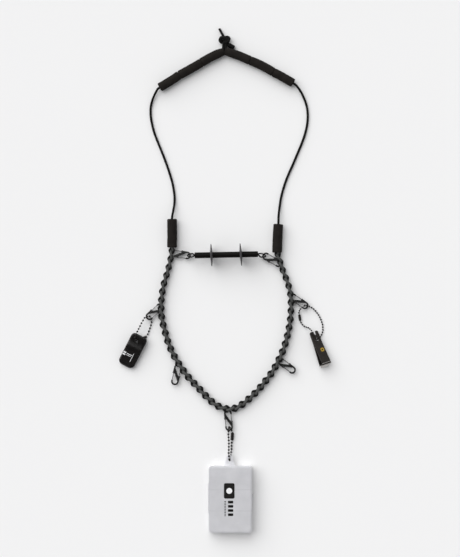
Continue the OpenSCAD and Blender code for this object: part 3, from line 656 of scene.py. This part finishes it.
def strap_mesh():
    flat = FOLD_X + STRAP_END
    total = 2 * flat + math.pi * FOLD_R
    ends = [0, 0.2, 0.7, 1.5, 2.6, 3.8, 5]
    along = np.array(ends + list(np.linspace(6.2, total - 6.2, 96)) + [total - e for e in ends[::-1]])
    across = np.array([-1, -0.985, -0.94, -0.86, -0.7, -0.5, -0.3, -0.1,
                       0.1, 0.3, 0.5, 0.7, 0.86, 0.94, 0.985, 1])
    n, m = len(along), len(across)
    verts = []
    for layer in (1, -1):
        for s in along:
            p, normal = strap_point(s)
            e = min(s, total - s)
            inset = STRAP_CORNER - math.sqrt(max(0, STRAP_CORNER ** 2 - max(0, STRAP_CORNER - e) ** 2))
            fold = min(FOLD_CORNER, max(0, FOLD_CORNER - (FOLD_X + FOLD_R - p[0])))
            inset += FOLD_CORNER - math.sqrt(FOLD_CORNER ** 2 - fold ** 2)
            half = STRAP_W / 2 - inset
            wave = strap_wave(p[0]) if s > flat + 8.2 else 0.0
            for v in across:
                y = STRAP_SIDE + v * half
                edge = min(half * (1 - abs(v)), e, 1.2)
                thick = STRAP_T / 2 * math.sqrt(max(0.06, 1 - (1 - edge / 1.2) ** 2))
                q = p + normal * (layer * thick + wave)
                verts.append((q[0], y, q[2]))
    faces = []
    for layer in (0, 1):
        base = layer * n * m
        for i in range(n - 1):
            for k in range(m - 1):
                a = base + i * m + k
                quad = [a, a + 1, a + m + 1, a + m]
                faces.append(quad if layer == 0 else quad[::-1])
    rim = [i * m for i in range(n)] + [(n - 1) * m + k for k in range(1, m)]
    rim += [i * m + m - 1 for i in range(n - 2, -1, -1)] + [k for k in range(m - 2, 0, -1)]
    for i, a in enumerate(rim):
        b = rim[(i + 1) % len(rim)]
        faces.append((a, b, n * m + b, n * m + a))
    uvs = [[(verts[i][0], verts[i][1]) for i in f] for f in faces]
    return mesh_object("strap", verts, faces, uvs, STRAP)


def recalculate(obj):
    """Turns every face outwards."""
    bpy.context.view_layer.objects.active = obj
    obj.select_set(True)
    bpy.ops.object.mode_set(mode="EDIT")
    bpy.ops.mesh.select_all(action="SELECT")
    bpy.ops.mesh.normals_make_consistent(inside=False)
    bpy.ops.object.mode_set(mode="OBJECT")
    obj.select_set(False)


def cut_hole(obj, matrix, radius):
    """Cuts a round hole along matrix's Z through obj and applies it."""
    cutter = mesh_object("cutter", *tube_data([(0, 0, -8), (0, 0, 0), (0, 0, 8)], radius, 28), matrix=matrix)
    recalculate(cutter)
    m = obj.modifiers.new("hole", "BOOLEAN")
    m.operation, m.solver, m.object = "DIFFERENCE", "EXACT", cutter
    bpy.context.view_layer.update()
    result = bpy.data.meshes.new_from_object(obj.evaluated_get(bpy.context.evaluated_depsgraph_get()))
    obj.modifiers.remove(m)
    obj.data = result
    bpy.data.objects.remove(cutter)


strap = strap_mesh()
recalculate(strap)
cut_hole(strap, STRAP, 2.2)
strap.data.polygons.foreach_set("use_smooth", [True] * len(strap.data.polygons))
paint(strap, "hide")
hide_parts("straightener_back", "straightener_front")
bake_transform(strap)

# Plain bars on the strap
mark_parts = []
for x0, x1, y0, y1 in ((19.5, 21.3, -8.6, -4.6), (22.4, 24.2, -8.6, -4.6), (20.2, 21.0, -3.2, 4.4),
                       (22.4, 23.0, -3.2, 3.4), (17.0, 29.5, 5.2, 5.8)):
    mark_parts.append(plate_data(rounded_rectangle(x0, y0, x1, y1, 0.28, 3), 3.42, 3.5))
marks = mesh_object("strap_marks", *join_data(mark_parts), matrix=STRAP, smooth=False)
paint(marks, "print_white")
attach(marks, "straightener_flap")

for node in ("straightener_liner_back", "straightener_liner_front"):
    paint(bevel(NODES[node], 0.2, 2), "pad")

# ---- Ball chains ------------------------------------------------------------------------------

for name in ("straightener", "nipper", "box"):
    paint(NODES[name + "_chain"], "chain")
    paint(bevel(NODES[name + "_connector"], 0.5, 3), "chain")

# ---- Line nippers -----------------------------------------------------------------------------

NIPPER = (Matrix.Translation((127, -80.6, 6.2)) @ Matrix.Rotation(math.radians(-71), 4, "Z")
          @ Matrix.Rotation(math.radians(-3.1), 4, "Y") @ Matrix.Rotation(math.radians(-24), 4, "X"))
LEAF_SLOPE = (5.7 - 1.35) / (36 - 2.9)
LEAF_SIDE = -0.9


def leaf_top(x):
    return 1.35 + max(0, x - 2.9) * LEAF_SLOPE


for node in ("nipper_upper_leaf", "nipper_lower_leaf"):
    paint(bevel(NODES[node], 0.22, 2), "nipper")
paint(bevel(NODES["nipper_rivet"], 0.15, 2), "nipper")

ring_outer, ring_inner, steps = 2.6, 1.1, 28
verts, faces = [], []
for k in range(steps):
    a = 2 * math.pi * k / steps
    c, q = math.cos(a), math.sin(a)
    square = 1 / max(abs(c), abs(q))
    outer = ring_outer * (0.45 + 0.55 * min(square, 1.25))
    for r, lift in ((outer, 0.02), (outer, 0.12), (ring_inner, 0.12), (ring_inner, 0.02)):
        x, y = 15.4 + r * c, 0.6 + r * q
        verts.append((x, y, leaf_top(x) + lift))
for k in range(steps):
    for j in range(4):
        a, b = 4 * k + j, 4 * k + (j + 1) % 4
        c, d = 4 * ((k + 1) % steps) + (j + 1) % 4, 4 * ((k + 1) % steps) + j
        faces.append((a, b, c, d))
emblem = mesh_object("nipper_emblem", verts, faces, None, NIPPER, smooth=False)
recalculate(emblem)
paint(emblem, "print_yellow")
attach(emblem, "nipper_upper_leaf")


def jaw_edge(name, points, body):
    """A ground cutting edge: an outline in x and z, drawn across the jaw."""
    half = 6.45
    verts = [(x, LEAF_SIDE + y, z) for y in (-half, half) for x, z in points]
    n = len(points)
    faces = [list(range(n)), list(range(2 * n - 1, n - 1, -1))]
    faces += [((k + 1) % n, k, n + k, n + (k + 1) % n) for k in range(n)]
    obj = mesh_object(name, verts, faces, None, NIPPER, smooth=False)
    recalculate(obj)
    bevel(obj, 0.15, 2)
    paint(obj, "steel")
    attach(obj, body)


jaw_edge("jaw_upper", [(33.2, 5.1), (33.5, 5.74), (37.1, 3.6), (36.5, 0.7), (35.4, 0.7), (35.2, 3.2)],
         "nipper_upper_leaf")
jaw_edge("jaw_lower", [(35.0, -5.0), (35.4, -5.3), (39.2, -3.2), (37.4, -0.7), (35.8, -0.7), (35.6, -3.0)],
         "nipper")

# ---- Compartment box --------------------------------------------------------------------------

for node in ("box_tray", "box_lid"):
    paint(bevel(NODES[node], 0.6, 3, 50), "frosted")
paint(NODES["box_hinge_pin"], "steel")

LID_TOP = 17.0
badge_outline = rounded_rectangle(-0.9, -297.2, 13.6, -276.2, 2.2)
badge = mesh_object("box_badge", *plate_data(badge_outline, LID_TOP + 0.02, LID_TOP + 0.1), smooth=False)
paint(badge, "print_black")
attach(badge, "box_lid")
DOT_X, DOT_Y, DOT_R = 6.4, -286.7, 4.0
dot = [(DOT_X + DOT_R * math.cos(math.radians(a)), DOT_Y + DOT_R * math.sin(math.radians(a)))
       for a in range(0, 360, 12)]
badge_dot = mesh_object("box_badge_dot", *plate_data(dot, LID_TOP + 0.1, LID_TOP + 0.16), smooth=False)
paint(badge_dot, "print_white")
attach(badge_dot, "box_lid")
bars = [plate_data(rounded_rectangle(4.6, y - 3.6, 11.8, y, 0.8, 3), LID_TOP + 0.02, LID_TOP + 0.1)
        for y in (-300.2, -305.9, -311.6, -317.3)]
bars += [plate_data(rounded_rectangle(-0.2, y - 1.1, 1.8, y, 0.3, 3), LID_TOP + 0.02, LID_TOP + 0.1)
         for y in np.linspace(-300.6, -320, 10)]
badge_bars = mesh_object("box_badge_bars", *join_data(bars), smooth=False)
paint(badge_bars, "print_black")
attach(badge_bars, "box_lid")

# ---- Floor and light --------------------------------------------------------------------------

floor_mesh = bpy.data.meshes.new("floor")
floor_mesh.from_pydata([(-4, -4, 0), (4, -4, 0), (4, 4, 0), (-4, 4, 0)], [], [(0, 1, 2, 3)])
floor = bpy.data.objects.new("floor", floor_mesh)
bpy.context.scene.collection.objects.link(floor)
floor_paper = Shader("paper", (0.8, 0.8, 0.8), 0.95, Specular_IOR_Level=0.05)
floor_mesh.materials.append(floor_paper.mat)

world = bpy.data.worlds.new("studio")
world.use_nodes = True
world.node_tree.nodes["Background"].inputs["Strength"].default_value = 1.0
# Bright all round and dark overhead, so that gloss black surfaces seen from above stay black
sky_coords = world.node_tree.nodes.new("ShaderNodeTexCoord")
sky_parts = world.node_tree.nodes.new("ShaderNodeSeparateXYZ")
sky = world.node_tree.nodes.new("ShaderNodeValToRGB")
sky.color_ramp.elements[0].position = 0.55
sky.color_ramp.elements[0].color = (0.56, 0.56, 0.57, 1)
sky.color_ramp.elements[1].position = 0.92
sky.color_ramp.elements[1].color = (0.03, 0.03, 0.03, 1)
world.node_tree.links.new(sky_coords.outputs["Generated"], sky_parts.inputs["Vector"])
world.node_tree.links.new(sky_parts.outputs["Z"], sky.inputs["Fac"])
world.node_tree.links.new(sky.outputs["Color"], world.node_tree.nodes["Background"].inputs["Color"])
bpy.context.scene.world = world


def sun(name, direction, strength, spread):
    """A broad soft light that shines from direction."""
    data = bpy.data.lights.new(name, "SUN")
    data.energy = strength
    data.angle = math.radians(spread)
    obj = bpy.data.objects.new(name, data)
    obj.rotation_euler = Vector(direction).to_track_quat("Z", "Y").to_euler()
    bpy.context.scene.collection.objects.link(obj)


sun("key", (-0.75, 0.95, 1.25), 3.3, 75)
sun("fill", (0.8, -0.4, 1.2), 0.15, 80)

# ---- Scene update -----------------------------------------------------------------------------

bpy.context.view_layer.update()
